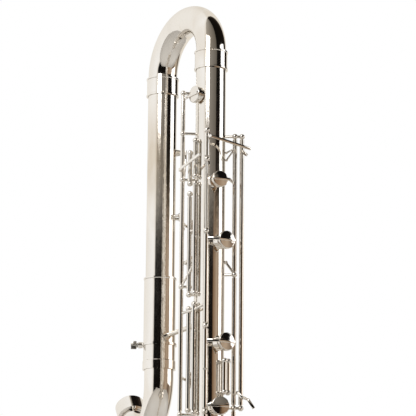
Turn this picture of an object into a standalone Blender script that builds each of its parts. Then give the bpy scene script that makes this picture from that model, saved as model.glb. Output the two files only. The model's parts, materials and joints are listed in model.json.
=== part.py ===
"""Folded contrabass clarinet of plated metal tube, without its mouthpiece.

The neck leg, the body leg and the bell leg stand side by side and two bows join them. The body leg
carries chimneys, posts and long hinge rods, and the keys turn on these rods. The origin is the tip
of the floor peg. Up is +Z, the bell side is -Y, and the player stands at +Y.
"""

import math

import bmesh
import bpy
from mathutils import Matrix, Vector

# Tubes and their places
TUBE_R = 0.0158          # outside radius of the neck leg, the bows and the body
BORE_R = 0.0148          # radius of the bore
GAP = 0.0003             # gap between touching pieces
BELL_SPACING = 0.120     # from the body axis to the bell leg axis
NECK_SPACING = 0.116     # from the body axis to the neck leg axis
LOW_BOW_Z = 0.228        # height of the bottom bow's centre
HIGH_BOW_Z = 1.188       # height of the top bow's centre
HIGH_BOW_RISE = 0.047    # height of the top bow's flattened arch
BOW_SPIGOT = 0.012       # straight end of each bow, inside its ferrule
BODY_SPLIT_Z = 0.625     # joint between the upper and the lower body
BODY_Y = BELL_SPACING / 2
BELL_Y = -BELL_SPACING / 2
NECK_Y = BODY_Y + NECK_SPACING

# Ferrules and sleeves
FERRULE_WALL = 0.0011
FERRULE_LENGTH = 0.020
BEAD = 0.0006            # how far a bead stands out
SLEEVE_TOP_Z = 0.962     # top of the tuning sleeve on the neck leg
SLEEVE_BOTTOM_Z = 0.862
SLEEVE_COLLAR = 0.009    # wider band at the bottom of the sleeve
SLEEVE_OVERLAP = 0.045   # how far the neck leg reaches into the sleeve
CLAMP_Z = 0.889

# Neck
NECK_BEND_R = 0.050
NECK_BEND_Z = 0.852
NECK_TURN = math.radians(140)
NECK_SWING = math.radians(8)     # how far the neck's plane is turned toward +X
NECK_END_R = 0.0126
RECEIVER_R = 0.0163
RECEIVER_LENGTH = 0.0195
RECEIVER_SOCKET_R = 0.0108

# Bell
BELL_LEG_TOP_Z = 0.520
BELL_LEG_TOP_R = 0.0225
BELL_RIM_Z = 0.738
BELL_RIM_R = 0.086
BELL_WALL = 0.0012
BELL_BEAD_R = 0.0022

# Hinges, posts and keys
HINGE_R = 0.0024
HINGE_BORE_R = 0.00175
ROD_R = 0.0012
POST_STEM_R = 0.0015
POST_BALL_R = 0.0030
HINGE_END = POST_BALL_R + 0.0005
SEAT = 0.0208            # chimney rim to body axis
CHIMNEY_WALL = 0.0010
CUP_DEPTH = 0.0047
CUP_EDGE = 0.0017        # how far a cup reaches past its chimney
PAD_THICKNESS = 0.0021
ARM_WIDTH = 0.0030
ARM_THICKNESS = 0.0018
OPEN_GAP = 0.0040        # how far an open cup stands off its chimney
TOUCH_R = 0.0085
TOUCH_THICKNESS = 0.0020

# Floor peg
PEG_R = 0.0050
PEG_TOP_Z = 0.145
PEG_SOCKET_R = 0.0090
PEG_SOCKET_BOTTOM_Z = 0.105
PEG_TIP_R = 0.0085
PEG_TIP_HEIGHT = 0.024

# Sides of the round shapes
TUBE_SIDES = 20
CUP_SIDES = 12
HINGE_SIDES = 8
ROD_SIDES = 6

# Rod lines: place from the body axis, x and y
RODS = {
    "front_left": (-0.0163, -0.0236),
    "front_right": (0.0215, -0.0145),
    "outer_right": (0.0283, -0.0172),
    "side_left": (-0.0270, 0.0110),
    "back_left": (-0.0215, 0.0040),
}
# Heights of the posts on each rod line, for the upper and the lower body
POSTS = {
    "upper_body": {
        "front_left": (1.093, 1.062, 0.986, 0.887, 0.799, 0.650),
        "front_right": (1.093, 0.945, 0.806, 0.700),
        "outer_right": (1.093, 0.806),
        "side_left": (1.140, 1.096, 1.046, 0.932, 0.799),
        "back_left": (1.030, 0.923),
    },
    "lower_body": {
        "front_left": (0.600, 0.480, 0.320),
        "front_right": (0.600, 0.500, 0.380),
    },
}
# Tone holes: height, angle from the front toward +X in degrees, cup radius, rod line, hinge ends,
# open at rest, and the touch's height and angle or None
TONE_KEYS = {
    "tone_key_1": (1.0415, -11, 0.0086, "front_right", 0.945, 1.093, True, None),
    "tone_key_2": (0.9780, 15, 0.0094, "front_left", 0.887, 0.986, True, None),
    "tone_key_3": (0.8717, 16, 0.0094, "front_left", 0.8425, 0.887, True, None),
    "tone_key_4": (0.8052, 0, 0.0094, "front_left", 0.799, 0.8415, True, None),
    "tone_key_5": (0.7380, -5, 0.0100, "front_right", 0.700, 0.806, True, (0.776, 38)),
    "tone_key_6": (0.6720, 8, 0.0105, "front_left", 0.650, 0.799, True, (0.752, -30)),
    "tone_key_7": (0.5800, -4, 0.0110, "front_right", 0.500, 0.600, True, (0.540, 38)),
    "tone_key_8": (0.5150, 8, 0.0115, "front_left", 0.480, 0.600, True, (0.565, -30)),
    "tone_key_9": (0.4380, -2, 0.0118, "front_right", 0.380, 0.500, True, (0.480, 38)),
    "tone_key_10": (0.3550, 8, 0.0122, "front_left", 0.320, 0.480, True, (0.420, -30)),
    "throat_key": (1.1362, -81, 0.0090, "side_left", 1.096, 1.140, False, None),
    "back_key": (1.0000, -168, 0.0086, "side_left", 0.932, 1.046, False, None),
    "thumb_key": (0.9600, -160, 0.0086, "back_left", 0.923, 1.030, False, None),
    "lower_back_key": (0.8380, -168, 0.0092, "side_left", 0.799, 0.932, False, None),
}
LOW_ROD = (0.0290, -0.0120)
LOW_POSTS = (0.455, 0.375, 0.295)
LOW_SEAT = 0.0260
LOW_KEYS = {
    "low_d_key": (0.4150, 0, 0.0135, 0.375, 0.455),
    "low_c_key": (0.3350, 0, 0.0130, 0.295, 0.375),
}
SILVER = ("#d9d4cb", 0.16, 1.0)
STEEL = ("#b9b6b0", 0.25, 1.0)
LEATHER = ("#c9a47c", 0.70, 0.0)
RUBBER = ("#1b1b1c", 0.80, 0.0)


def clear_scene():
    for obj in list(bpy.data.objects):
        bpy.data.objects.remove(obj, do_unlink=True)


def linear(hex_colour):
    channels = [int(hex_colour[i:i + 2], 16) / 255 for i in (1, 3, 5)]
    return [c / 12.92 if c <= 0.04045 else ((c + 0.055) / 1.055) ** 2.4 for c in channels] + [1]


def material(name, finish):
    colour, roughness, metallic = finish
    mat = bpy.data.materials.get(name) or bpy.data.materials.new(name)
    mat.use_nodes = True
    shader = mat.node_tree.nodes["Principled BSDF"]
    shader.inputs["Base Color"].default_value = linear(colour)
    shader.inputs["Roughness"].default_value = roughness
    shader.inputs["Metallic"].default_value = metallic
    return mat


def turned_to(start, end):
    """Matrix that takes a shape centred on the Z axis to the middle of start and end."""
    start, end = Vector(start), Vector(end)
    turn = (end - start).to_track_quat("Z", "Y").to_matrix().to_4x4()
    return Matrix.Translation((start + end) / 2) @ turn


def cone(start, end, r0, r1=None, sides=HINGE_SIDES):
    bm = bmesh.new()
    length = (Vector(end) - Vector(start)).length
    bmesh.ops.create_cone(bm, cap_ends=True, segments=sides, radius1=r0,
                          radius2=r0 if r1 is None else r1, depth=length,
                          matrix=turned_to(start, end))
    return bm


def ball(centre, radius):
    bm = bmesh.new()
    bmesh.ops.create_uvsphere(bm, u_segments=8, v_segments=4, radius=radius,
                              matrix=Matrix.Translation(centre))
    return bm


def bar(start, end, width, thickness, up=(0, 0, 1)):
    """Flat bar from start to end. Its width lies along up."""
    bm = bmesh.new()
    start, end = Vector(start), Vector(end)
    along = (end - start).normalized()
    across = along.cross(Vector(up)).normalized()
    high = across.cross(along)
    turn = Matrix((across, high, along)).transposed().to_4x4()
    bmesh.ops.create_cube(bm, size=1, matrix=Matrix.Translation((start + end) / 2) @ turn
                          @ Matrix.Diagonal((thickness, width, (end - start).length, 1)))
    return bm


def lathe(profile, sides, frame=None):
    """Closed body of revolution. The profile is (radius, height) from one end to the other."""
    bm = bmesh.new()
    verts = [bm.verts.new((r, 0, z)) for r, z in profile]
    pairs = list(zip(verts, verts[1:]))
    if profile[0][0] > 0 and profile[-1][0] > 0:
        pairs.append((verts[-1], verts[0]))
    edges = [bm.edges.new(pair) for pair in pairs]
    bmesh.ops.spin(bm, geom=verts + edges, cent=(0, 0, 0), axis=(0, 0, 1), angle=math.tau,
                   steps=sides, use_merge=True)
    bmesh.ops.remove_doubles(bm, verts=bm.verts, dist=1e-6)
    bmesh.ops.recalc_face_normals(bm, faces=bm.faces)
    if frame is not None:
        bmesh.ops.transform(bm, matrix=frame, verts=bm.verts)
    return bm


def swept(points, radii, sides=TUBE_SIDES):
    """Closed solid tube along the points, each with its own radius."""
    bm = bmesh.new()
    points = [Vector(p) for p in points]
    rings = []
    for i, point in enumerate(points):
        before, after = points[max(i - 1, 0)], points[min(i + 1, len(points) - 1)]
        along = (after - before).normalized()
        side = Vector((1, 0, 0))
        side = (side - along * side.dot(along)).normalized()
        turn = Matrix((side, along.cross(side), along)).transposed().to_4x4()
        ring = bmesh.ops.create_circle(bm, segments=sides, radius=radii[i],
                                       matrix=Matrix.Translation(point) @ turn)
        rings.append(ring["verts"])
    for low, high in zip(rings, rings[1:]):
        edges = [e for e in bm.edges if all(v in low for v in e.verts)]
        edges += [e for e in bm.edges if all(v in high for v in e.verts)]
        bmesh.ops.bridge_loops(bm, edges=edges)
    for ring in (rings[0], rings[-1]):
        bm.faces.new(ring)
    bmesh.ops.recalc_face_normals(bm, faces=bm.faces)
    return bm


def as_object(name, bm):
    mesh = bpy.data.meshes.new(name)
    bm.to_mesh(mesh)
    bm.free()
    return bpy.data.objects.new(name, mesh)


def boolean(obj, tools, operation):
    """The mesh of obj after a Boolean with all the tools, which are used up."""
    group = bpy.data.collections.new("tools")
    bpy.context.scene.collection.children.link(group)
    for i, tool in enumerate(tools):
        group.objects.link(as_object(f"tool_{i}", tool))
    step = obj.modifiers.new(operation, "BOOLEAN")
    step.operation = operation
    step.solver = "EXACT"
    step.operand_type = "COLLECTION"
    step.collection = group
    bpy.context.view_layer.update()
    graph = bpy.context.evaluated_depsgraph_get()
    mesh = bpy.data.meshes.new_from_object(obj.evaluated_get(graph))
    obj.modifiers.clear()
    obj.data = mesh
    for tool in list(group.objects):
        bpy.data.objects.remove(tool, do_unlink=True)
    bpy.data.collections.remove(group)


def piece(name, finish, parts, cuts=(), turn=None):
    """One finished sub-part: parts joined into one body, less the cuts, then turned."""
    obj = as_object(name, parts[0])
    bpy.context.scene.collection.objects.link(obj)
    if len(parts) > 1:
        boolean(obj, parts[1:], "UNION")
    if cuts:
        boolean(obj, list(cuts), "DIFFERENCE")
    obj.data.name = name
    if turn is not None:
        obj.data.transform(turn)
    bm = bmesh.new()
    bm.from_mesh(obj.data)
    bmesh.ops.remove_doubles(bm, verts=bm.verts, dist=2e-6)
    bmesh.ops.dissolve_degenerate(bm, edges=bm.edges, dist=2e-6)
    bm.to_mesh(obj.data)
    bm.free()
    obj.data.materials.clear()
    obj.data.materials.append(material(f"{name}_finish", finish))
    obj.data.shade_smooth()
    obj.data.set_sharp_from_angle(angle=math.radians(35))
    return obj


def outward(angle):
    """Unit vector from a leg's axis at an angle from the front toward +X."""
    turn = math.radians(angle)
    return Vector((math.sin(turn), -math.cos(turn), 0))


def facing(base, direction):
    """Frame whose Z points along direction from base."""
    turn = direction.to_track_quat("Z", "Y").to_matrix().to_4x4()
    return Matrix.Translation(base) @ turn


def on_leg(axis_y, rod, z):
    return Vector((rod[0], axis_y + rod[1], z))


def post(axis_y, rod, z, start=None):
    """Stem and ball that carry a rod."""
    centre = on_leg(axis_y, rod, z)
    base = start or Vector((0, axis_y, z)) + (centre - Vector((0, axis_y, z))).normalized() * BORE_R
    return [cone(base, centre, POST_STEM_R, sides=ROD_SIDES), ball(centre, POST_BALL_R)]


def chimney(axis_y, z, angle, radius, seat):
    way = outward(angle)
    return cone(Vector((0, axis_y, z)) + way * (BORE_R * 0.55),
                Vector((0, axis_y, z)) + way * seat, radius, sides=CUP_SIDES)


def chimney_hole(axis_y, z, angle, radius, seat):
    way = outward(angle)
    return cone(Vector((0, axis_y, z)), Vector((0, axis_y, z)) + way * (seat + 0.01),
                radius - CHIMNEY_WALL, sides=CUP_SIDES)


def body_seat(name):
    return 0.0175 if name == "throat_key" else SEAT


def body(name, low, high):
    """Length of the body leg with its chimneys, posts and rods."""
    axis = (0, BODY_Y)
    parts = [cone((*axis, low), (*axis, high), TUBE_R, sides=TUBE_SIDES)]
    cuts = [cone((*axis, low - 0.01), (*axis, high + 0.01), BORE_R, sides=TUBE_SIDES)]
    for key, (z, angle, radius, *_rest) in TONE_KEYS.items():
        if low < z < high:
            hole = (BODY_Y, z, angle, radius - CUP_EDGE, body_seat(key))
            parts.append(chimney(*hole))
            cuts.append(chimney_hole(*hole))
    joined = []
    for line, heights in POSTS[name].items():
        rod = RODS[line]
        for z in heights:
            start = on_leg(BODY_Y, RODS["front_right"], z) if line == "outer_right" else None
            joined += post(BODY_Y, rod, z, start)
        joined.append(cone(on_leg(BODY_Y, rod, heights[-1]), on_leg(BODY_Y, rod, heights[0]),
                           ROD_R, sides=ROD_SIDES))
    piece(name, SILVER, parts + joined, cuts)


def cup_shell(base, way, radius):
    """Pad cup with a shallow dome, open toward the chimney."""
    inner = radius - 0.0008
    profile = [(0, PAD_THICKNESS), (inner, PAD_THICKNESS), (inner, 0), (radius, 0),
               (radius, CUP_DEPTH - 0.0012), (radius - 0.0012, CUP_DEPTH - 0.0004), (0, CUP_DEPTH)]
    return lathe(profile, CUP_SIDES, facing(base, way))


def pad_shape(base, way, radius):
    """Leather pad that fills its cup and stands a little proud of it."""
    edge = radius - 0.0008 - GAP - 0.0004
    proud = 0.0006
    profile = [(0, PAD_THICKNESS - GAP), (edge, PAD_THICKNESS - GAP), (edge, 0.0002 - proud),
               (edge - 0.0005, -proud), (0, -proud)]
    return lathe(profile, CUP_SIDES, facing(base, way))


def opening_turn(hinge, target, way, gap):
    """Signed angle about the rod that lifts target along way by gap."""
    lever = target - hinge
    rise = Vector((-lever.y, lever.x, 0)).dot(way)
    return gap / rise


def turn_about(hinge, angle):
    return Matrix.Translation(hinge) @ Matrix.Rotation(angle, 4, "Z") @ Matrix.Translation(-hinge)


def hinge_tube(hinge, low, high):
    foot = Vector((hinge.x, hinge.y, low))
    top = Vector((hinge.x, hinge.y, high))
    reach = Vector((0, 0, 0.002))
    return (cone(foot, top, HINGE_R, sides=HINGE_SIDES),
            cone(foot - reach, top + reach, HINGE_BORE_R, sides=ROD_SIDES))


def cup_key(name, axis_y, rod, low, high, z, angle, radius, seat, opened, touch=None):
    """Key with a cup, an arm over the cup and its pad, raised off its chimney when open at rest."""
    hinge = on_leg(axis_y, rod, 0)
    tube, bore = hinge_tube(hinge, low, high)
    way = outward(angle)
    centre = Vector((0, axis_y, z))
    rim = centre + way * (seat + GAP + 0.0006)
    top = rim + way * (CUP_DEPTH + ARM_THICKNESS / 2 - 0.0006)
    across = Vector((-way.y, way.x, 0))
    if (hinge - centre).dot(across) < 0:
        across = -across
    arm_z = min(max(z, low + ARM_WIDTH), high - ARM_WIDTH)
    elbow = top + across * (radius + 0.0012)
    elbow.z = (arm_z + z) / 2
    root = Vector((hinge.x, hinge.y, arm_z))
    root += (elbow - root).normalized() * (HINGE_BORE_R + 0.0002)
    parts = [tube, bar(root, elbow + (elbow - root).normalized() * 0.0008, ARM_WIDTH, ARM_THICKNESS),
             bar(elbow + across * 0.0008, top - across * (radius * 0.9), ARM_WIDTH, ARM_THICKNESS),
             cup_shell(rim, way, radius)]
    if touch:
        parts += touch_parts(hinge, axis_y, *touch)
    turn = turn_about(hinge, opening_turn(hinge, rim, way, OPEN_GAP)) if opened else None
    piece(name, SILVER, parts, [bore], turn)
    piece(name.replace("_key", "_pad"), LEATHER, [pad_shape(rim, way, radius)], turn=turn)


def touch_parts(hinge, axis_y, z, angle, reach=0.0400):
    """Arm from the hinge to a round finger plate."""
    way = outward(angle)
    plate = Vector((0, axis_y, z)) + way * reach
    root = Vector((hinge.x, hinge.y, z))
    along = (plate - root).normalized()
    return [bar(root + along * (HINGE_BORE_R + 0.0002), plate, ARM_WIDTH, ARM_THICKNESS),
            cone(plate - way * TOUCH_THICKNESS / 2, plate + way * TOUCH_THICKNESS / 2, TOUCH_R,
                 TOUCH_R - 0.0008, sides=CUP_SIDES)]


def lever(name, rod, low, high, arms):
    """Key without a cup: a hinge tube with arms, each a list of places from the body axis."""
    hinge = on_leg(BODY_Y, RODS[rod], 0)
    tube, bore = hinge_tube(hinge, low, high)
    parts = [tube]
    for places in arms:
        points = [Vector((x, BODY_Y + y, z)) for x, y, z in places]
        root = Vector((hinge.x, hinge.y, points[0].z))
        points[0] = root + (points[1] - root).normalized() * (HINGE_BORE_R + 0.0002)
        for start, end in zip(points, points[1:]):
            ahead = (end - start).normalized() * 0.0007
            parts.append(bar(start, end + ahead, ARM_WIDTH, ARM_THICKNESS))
    piece(name, SILVER, parts, [bore])


def ferrule(name, axis_y, middle, inner_r):
    """Sleeve over a joint, with a bead at each end."""
    half = FERRULE_LENGTH / 2
    outer = inner_r + FERRULE_WALL
    bead = outer + BEAD
    profile = [(inner_r, -half), (bead, -half), (bead, 0.0014 - half), (outer, 0.0020 - half),
               (outer, half - 0.0020), (bead, half - 0.0014), (bead, half), (inner_r, half)]
    frame = Matrix.Translation((0, axis_y, middle))
    piece(name, SILVER, [lathe(profile, TUBE_SIDES, frame)])


def bow(name, y0, y1, z, rise, spigot, radius=TUBE_R, steps=10):
    """Half ring between two legs, with a straight spigot at each end. Rise is negative below."""
    middle, half = (y0 + y1) / 2, abs(y1 - y0) / 2
    points = [(0, middle + half, z - math.copysign(spigot, rise))]
    for i in range(steps + 1):
        turn = math.pi * i / steps
        points.append((0, middle + half * math.cos(turn), z + rise * math.sin(turn)))
    points.append((0, middle - half, z - math.copysign(spigot, rise)))
    bore = [list(p) for p in points]
    bore[0][2] -= math.copysign(0.004, rise)
    bore[-1][2] -= math.copysign(0.004, rise)
    wall = TUBE_R - BORE_R
    piece(name, SILVER, [swept(points, [radius] * len(points))],
                 [swept(bore, [radius - wall] * len(bore))])


def make_body():
    body("upper_body", BODY_SPLIT_Z + GAP / 2, HIGH_BOW_Z - BOW_SPIGOT - GAP)
    body("lower_body", LOW_BOW_Z + BOW_SPIGOT + GAP, BODY_SPLIT_Z - GAP / 2)
    ferrule("body_ferrule", BODY_Y, BODY_SPLIT_Z, TUBE_R + GAP)
    bow("top_bow", BODY_Y, NECK_Y, HIGH_BOW_Z, HIGH_BOW_RISE, BOW_SPIGOT)
    for name, axis_y in (("bow_ferrule_body", BODY_Y), ("bow_ferrule_neck", NECK_Y)):
        ferrule(name, axis_y, HIGH_BOW_Z - BOW_SPIGOT, TUBE_R + GAP)
    bow("bottom_bow", BELL_Y, BODY_Y, LOW_BOW_Z, -BELL_SPACING / 2, BOW_SPIGOT)
    ferrule("low_ferrule", BODY_Y, LOW_BOW_Z + BOW_SPIGOT, TUBE_R + GAP)


def make_neck_leg():
    low = SLEEVE_TOP_Z - SLEEVE_OVERLAP
    high = HIGH_BOW_Z - BOW_SPIGOT - GAP
    vent_z, pivot_z = 1.1025, 1.0300
    way = outward(62)
    centre = Vector((0, NECK_Y, vent_z))
    side = Vector((-way.y, way.x, 0))
    vent = cone(centre + way * 0.012, centre + way * 0.0205, 0.0046, 0.0030, sides=ROD_SIDES + 2)
    pivot = Vector((0, NECK_Y, pivot_z)) + way * 0.0215
    parts = [cone((0, NECK_Y, low), (0, NECK_Y, high), TUBE_R, sides=TUBE_SIDES), vent]
    for sign in (-1, 1):
        place = pivot + side * sign * 0.0095
        parts += [cone(Vector((0, NECK_Y, pivot_z)) + way * 0.0135 + side * sign * 0.0060, place,
                       POST_STEM_R, sides=ROD_SIDES), ball(place, POST_BALL_R)]
    parts.append(cone(pivot - side * 0.0095, pivot + side * 0.0095, ROD_R, sides=ROD_SIDES))
    cuts = [cone((0, NECK_Y, low - 0.01), (0, NECK_Y, high + 0.01), BORE_R, sides=TUBE_SIDES),
            cone(centre, centre + way * 0.03, 0.0016, sides=ROD_SIDES)]
    piece("neck_leg", SILVER, parts, cuts)

    rim = centre + way * (0.0205 + GAP + 0.0006)
    top = rim + way * (CUP_DEPTH + ARM_THICKNESS / 2 - 0.0006)
    tube = cone(pivot - side * 0.0058, pivot + side * 0.0058, HINGE_R, sides=HINGE_SIDES)
    bore = cone(pivot - side * 0.0080, pivot + side * 0.0080, HINGE_BORE_R, sides=ROD_SIDES)
    foot = pivot + Vector((0, 0, 0.004)) + way * 0.0012
    crook = Vector((top.x, top.y, vent_z - 0.008))
    start = pivot + (foot - pivot).normalized() * (HINGE_BORE_R + 0.0002)
    tail = pivot - Vector((0, 0, 0.014)) + way * 0.004
    parts = [tube, bar(start, crook + Vector((0, 0, 0.0006)), 0.0042, ARM_THICKNESS, up=side),
             bar(crook, top + Vector((0, 0, 0.003)), 0.0036, ARM_THICKNESS, up=side),
             bar(pivot - Vector((0, 0, HINGE_BORE_R + 0.0002)), tail, 0.0050, ARM_THICKNESS, up=side),
             cup_shell(rim, way, 0.0052)]
    piece("register_key", SILVER, parts, [bore])
    piece("register_pad", LEATHER, [pad_shape(rim, way, 0.0052)])


def make_brace():
    low, high = BODY_Y + TUBE_R + GAP + 0.0002, NECK_Y - TUBE_R - FERRULE_WALL - GAP * 2 - 0.0002
    z = 0.897
    parts = [cone((0, low, z), (0, high, z), 0.0026, sides=HINGE_SIDES),
             cone((0, low, z), (0, low + 0.0014, z), 0.0062, sides=4),
             cone((0, high - 0.0014, z), (0, high, z), 0.0062, sides=4)]
    piece("leg_brace", SILVER, parts)


def make_sleeve():
    inner = TUBE_R + GAP
    outer = inner + FERRULE_WALL
    wide = outer + BEAD
    top, bottom = SLEEVE_TOP_Z, SLEEVE_BOTTOM_Z
    profile = [(inner, bottom), (wide, bottom), (wide, bottom + SLEEVE_COLLAR),
               (outer, bottom + SLEEVE_COLLAR + BEAD), (outer, top - 0.0022), (wide, top - 0.0016),
               (wide, top), (inner, top)]
    frame = Matrix.Translation((0, NECK_Y, 0))
    piece("tuning_sleeve", SILVER, [lathe(profile, TUBE_SIDES, frame)])
    grip = outer + GAP
    band = [(grip, CLAMP_Z - 0.0012), (grip + 0.0012, CLAMP_Z - 0.0012),
            (grip + 0.0012, CLAMP_Z + 0.0012), (grip, CLAMP_Z + 0.0012)]
    way = Vector((-0.889, 0.457, 0))
    centre = Vector((0, NECK_Y, CLAMP_Z))
    boss = cone(centre + way * (grip + 0.0004), centre + way * (grip + 0.0050), 0.0034,
                sides=HINGE_SIDES)
    hole = cone(centre + way * 0.010, centre + way * (grip + 0.0100), 0.0016, sides=ROD_SIDES)
    piece("tuning_clamp", SILVER, [lathe(band, TUBE_SIDES, frame), boss], [hole])
    tip = centre + way * (grip + 0.0010)
    head = centre + way * (grip + 0.0054)
    end = centre + way * (grip + 0.0130)
    shaft = [cone(tip, end, 0.0011, sides=ROD_SIDES), cone(head, head + way * 0.0022, 0.0026,
             sides=HINGE_SIDES), bar(head + way * 0.0016, end, 0.0088, 0.0014)]
    piece("clamp_screw", STEEL, shaft)


def neck_path():
    """Points of the neck from inside the tuning sleeve round to the receiver."""
    plane = Vector((math.sin(NECK_SWING), math.cos(NECK_SWING), 0))
    start = Vector((0, NECK_Y, SLEEVE_TOP_Z - SLEEVE_OVERLAP - 0.004))
    corner = Vector((0, NECK_Y, NECK_BEND_Z))
    points = [start, corner + Vector((0, 0, 0.004))]
    steps = 9
    for i in range(steps + 1):
        turn = NECK_TURN * i / steps
        points.append(corner + plane * NECK_BEND_R * (1 - math.cos(turn))
                      - Vector((0, 0, NECK_BEND_R * math.sin(turn))))
    way = plane * math.sin(NECK_TURN) - Vector((0, 0, math.cos(NECK_TURN)))
    points.append(points[-1] + way * 0.004)
    return points, way


def make_neck():
    points, way = neck_path()
    count = len(points) - 1
    radii = [TUBE_R + (NECK_END_R - TUBE_R) * max(0, i - 2) / (count - 2) for i in range(count + 1)]
    wall = TUBE_R - BORE_R
    spigot = points[-1] + way * (RECEIVER_LENGTH - 0.009)
    outer_points, outer_radii = points + [spigot], radii + [NECK_END_R]
    bore_points = [points[0] + Vector((0, 0, 0.01))] + points[1:] + [spigot + way * 0.01]
    piece("neck", SILVER, [swept(outer_points, outer_radii)],
          [swept(bore_points, [r - wall for r in outer_radii])])
    inner = NECK_END_R + GAP
    length = RECEIVER_LENGTH
    shelf = length - 0.009 + GAP
    profile = [(inner, 0), (RECEIVER_R - 0.0016, 0), (RECEIVER_R, 0.0014), (RECEIVER_R, length - 0.001),
               (RECEIVER_R - 0.0008, length), (RECEIVER_SOCKET_R + 0.0012, length),
               (RECEIVER_SOCKET_R, length - 0.001), (RECEIVER_SOCKET_R, shelf), (inner, shelf)]
    piece("neck_receiver", SILVER, [lathe(profile, TUBE_SIDES, facing(points[-1], way))])


def make_bell():
    low = LOW_BOW_Z + BOW_SPIGOT + GAP
    wall = BELL_WALL
    top_z, top_r = BELL_LEG_TOP_Z, BELL_LEG_TOP_R
    outer = cone((0, BELL_Y, low), (0, BELL_Y, top_z), TUBE_R + 0.0012, top_r, sides=TUBE_SIDES)
    inner = cone((0, BELL_Y, low - 0.002), (0, BELL_Y, top_z + 0.002), TUBE_R, top_r - wall,
                 sides=TUBE_SIDES)
    parts, cuts = [outer], [inner]
    for z, angle, radius, _low, _high in LOW_KEYS.values():
        hole = (BELL_Y, z, angle, radius - CUP_EDGE, LOW_SEAT)
        parts.append(chimney(*hole))
        cuts.append(chimney_hole(*hole))
    for z in LOW_POSTS:
        parts += post(BELL_Y, LOW_ROD, z)
    parts.append(cone(on_leg(BELL_Y, LOW_ROD, LOW_POSTS[-1]), on_leg(BELL_Y, LOW_ROD, LOW_POSTS[0]),
                      ROD_R, sides=ROD_SIDES))
    piece("bell_leg", SILVER, parts, cuts)
    for name, (z, angle, radius, key_low, key_high) in LOW_KEYS.items():
        cup_key(name, BELL_Y, LOW_ROD, key_low + HINGE_END, key_high - HINGE_END, z, angle, radius,
                LOW_SEAT, False, (z + 0.022, 112, 0.046))
    start = top_z + GAP
    flare = []
    steps = 9
    for i in range(steps + 1):
        t = i / steps
        radius = top_r + (BELL_RIM_R - top_r) * (0.20 * t + 0.80 * t ** 4.2)
        flare.append((radius, start + (BELL_RIM_Z - start) * t))
    rim_r, rim_z = flare[-1]
    bead = [(rim_r + BELL_BEAD_R * math.sin(a), rim_z - BELL_BEAD_R + BELL_BEAD_R * math.cos(a))
            for a in (math.radians(150), math.radians(90), math.radians(30))]
    inside = [(r - wall, z) for r, z in reversed(flare)]
    profile = flare[:-1] + bead + inside
    piece("bell", SILVER, [lathe(profile, TUBE_SIDES + 8, Matrix.Translation((0, BELL_Y, 0)))])
    inner_r = top_r + 0.0012
    ferrule("bell_ferrule", BELL_Y, top_z, inner_r)


def make_peg():
    top = LOW_BOW_Z - BELL_SPACING / 2 - TUBE_R
    tip = [(0, 0), (PEG_TIP_R * 0.82, 0), (PEG_TIP_R, 0.004), (PEG_TIP_R, PEG_TIP_HEIGHT - 0.004),
           (PEG_R + 0.0016, PEG_TIP_HEIGHT), (PEG_R + GAP, PEG_TIP_HEIGHT), (PEG_R + GAP, 0.006),
           (0, 0.006)]
    piece("endpin_tip", RUBBER, [lathe(tip, 16)])
    piece("endpin_rod", STEEL, [cone((0, 0, 0.006 + GAP), (0, 0, PEG_TOP_Z), PEG_R, sides=12)])
    saddle = cone((0, -0.016, top + 0.002), (0, 0.016, top + 0.002), 0.006, sides=12)
    socket = cone((0, 0, PEG_SOCKET_BOTTOM_Z), (0, 0, top + 0.004), PEG_SOCKET_R, sides=16)
    bow_space = swept([(0, y, LOW_BOW_Z - math.sqrt((BELL_SPACING / 2) ** 2 - y * y))
                       for y in (-0.03, -0.02, -0.01, 0, 0.01, 0.02, 0.03)],
                      [TUBE_R + GAP + 0.0003] * 7)
    bore = cone((0, 0, PEG_SOCKET_BOTTOM_Z - 0.01), (0, 0, PEG_TOP_Z + 0.0006), PEG_R + GAP, sides=12)
    screw_z = PEG_SOCKET_BOTTOM_Z + 0.012
    hole = cone((0, 0, screw_z), (0.02, 0, screw_z), 0.0022, sides=ROD_SIDES)
    piece("endpin_socket", SILVER, [socket, saddle], [bore, hole, bow_space])
    piece("endpin_screw", STEEL, [cone((PEG_R + 0.0004, 0, screw_z), (0.0160, 0, screw_z), 0.0018,
                                       sides=ROD_SIDES),
                                  cone((0.0125, 0, screw_z), (0.0200, 0, screw_z), 0.0062, sides=12)])


def make_keys():
    for name, (z, angle, radius, rod, low, high, opened, touch) in TONE_KEYS.items():
        posts = [h for part in POSTS.values() for h in part.get(rod, ())]
        low_end = low + HINGE_END if low in posts else low + GAP
        high_end = high - HINGE_END if high in posts else high - GAP
        cup_key(name, BODY_Y, RODS[rod], low_end, high_end, z, angle, radius, body_seat(name),
                opened, touch)
    left = RODS["front_left"]
    side = RODS["side_left"]
    lever("crossing_lever", "front_left", 1.062 + HINGE_END, 1.093 - HINGE_END,
          [[(*left, 1.0860), (-0.0140, -0.0285, 1.0860), (0.0320, -0.0285, 1.0780)]])
    lever("side_link", "side_left", 1.046 + HINGE_END, 1.096 - HINGE_END,
          [[(*side, 1.0550), (-0.0330, 0.0060, 1.0550), (-0.0250, -0.0240, 1.0660)]])
    right, outer = RODS["front_right"], RODS["outer_right"]
    lever("index_lever", "front_right", 0.806 + HINGE_END, 0.945 - HINGE_END,
          [[(*right, 0.8200), (0.0180, -0.0290, 0.8200), (0.0210, -0.0330, 0.8150)]])
    lever("trill_lever", "outer_right", 0.806 + HINGE_END, 1.093 - HINGE_END,
          [[(*outer, 1.0780), (0.0300, -0.0245, 1.0720)],
           [(*outer, 0.8180), (0.0330, -0.0240, 0.8150), (0.0380, -0.0270, 0.8060)]])


clear_scene()
make_body()
make_neck_leg()
make_brace()
make_sleeve()
make_neck()
make_bell()
make_peg()
make_keys()
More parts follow.
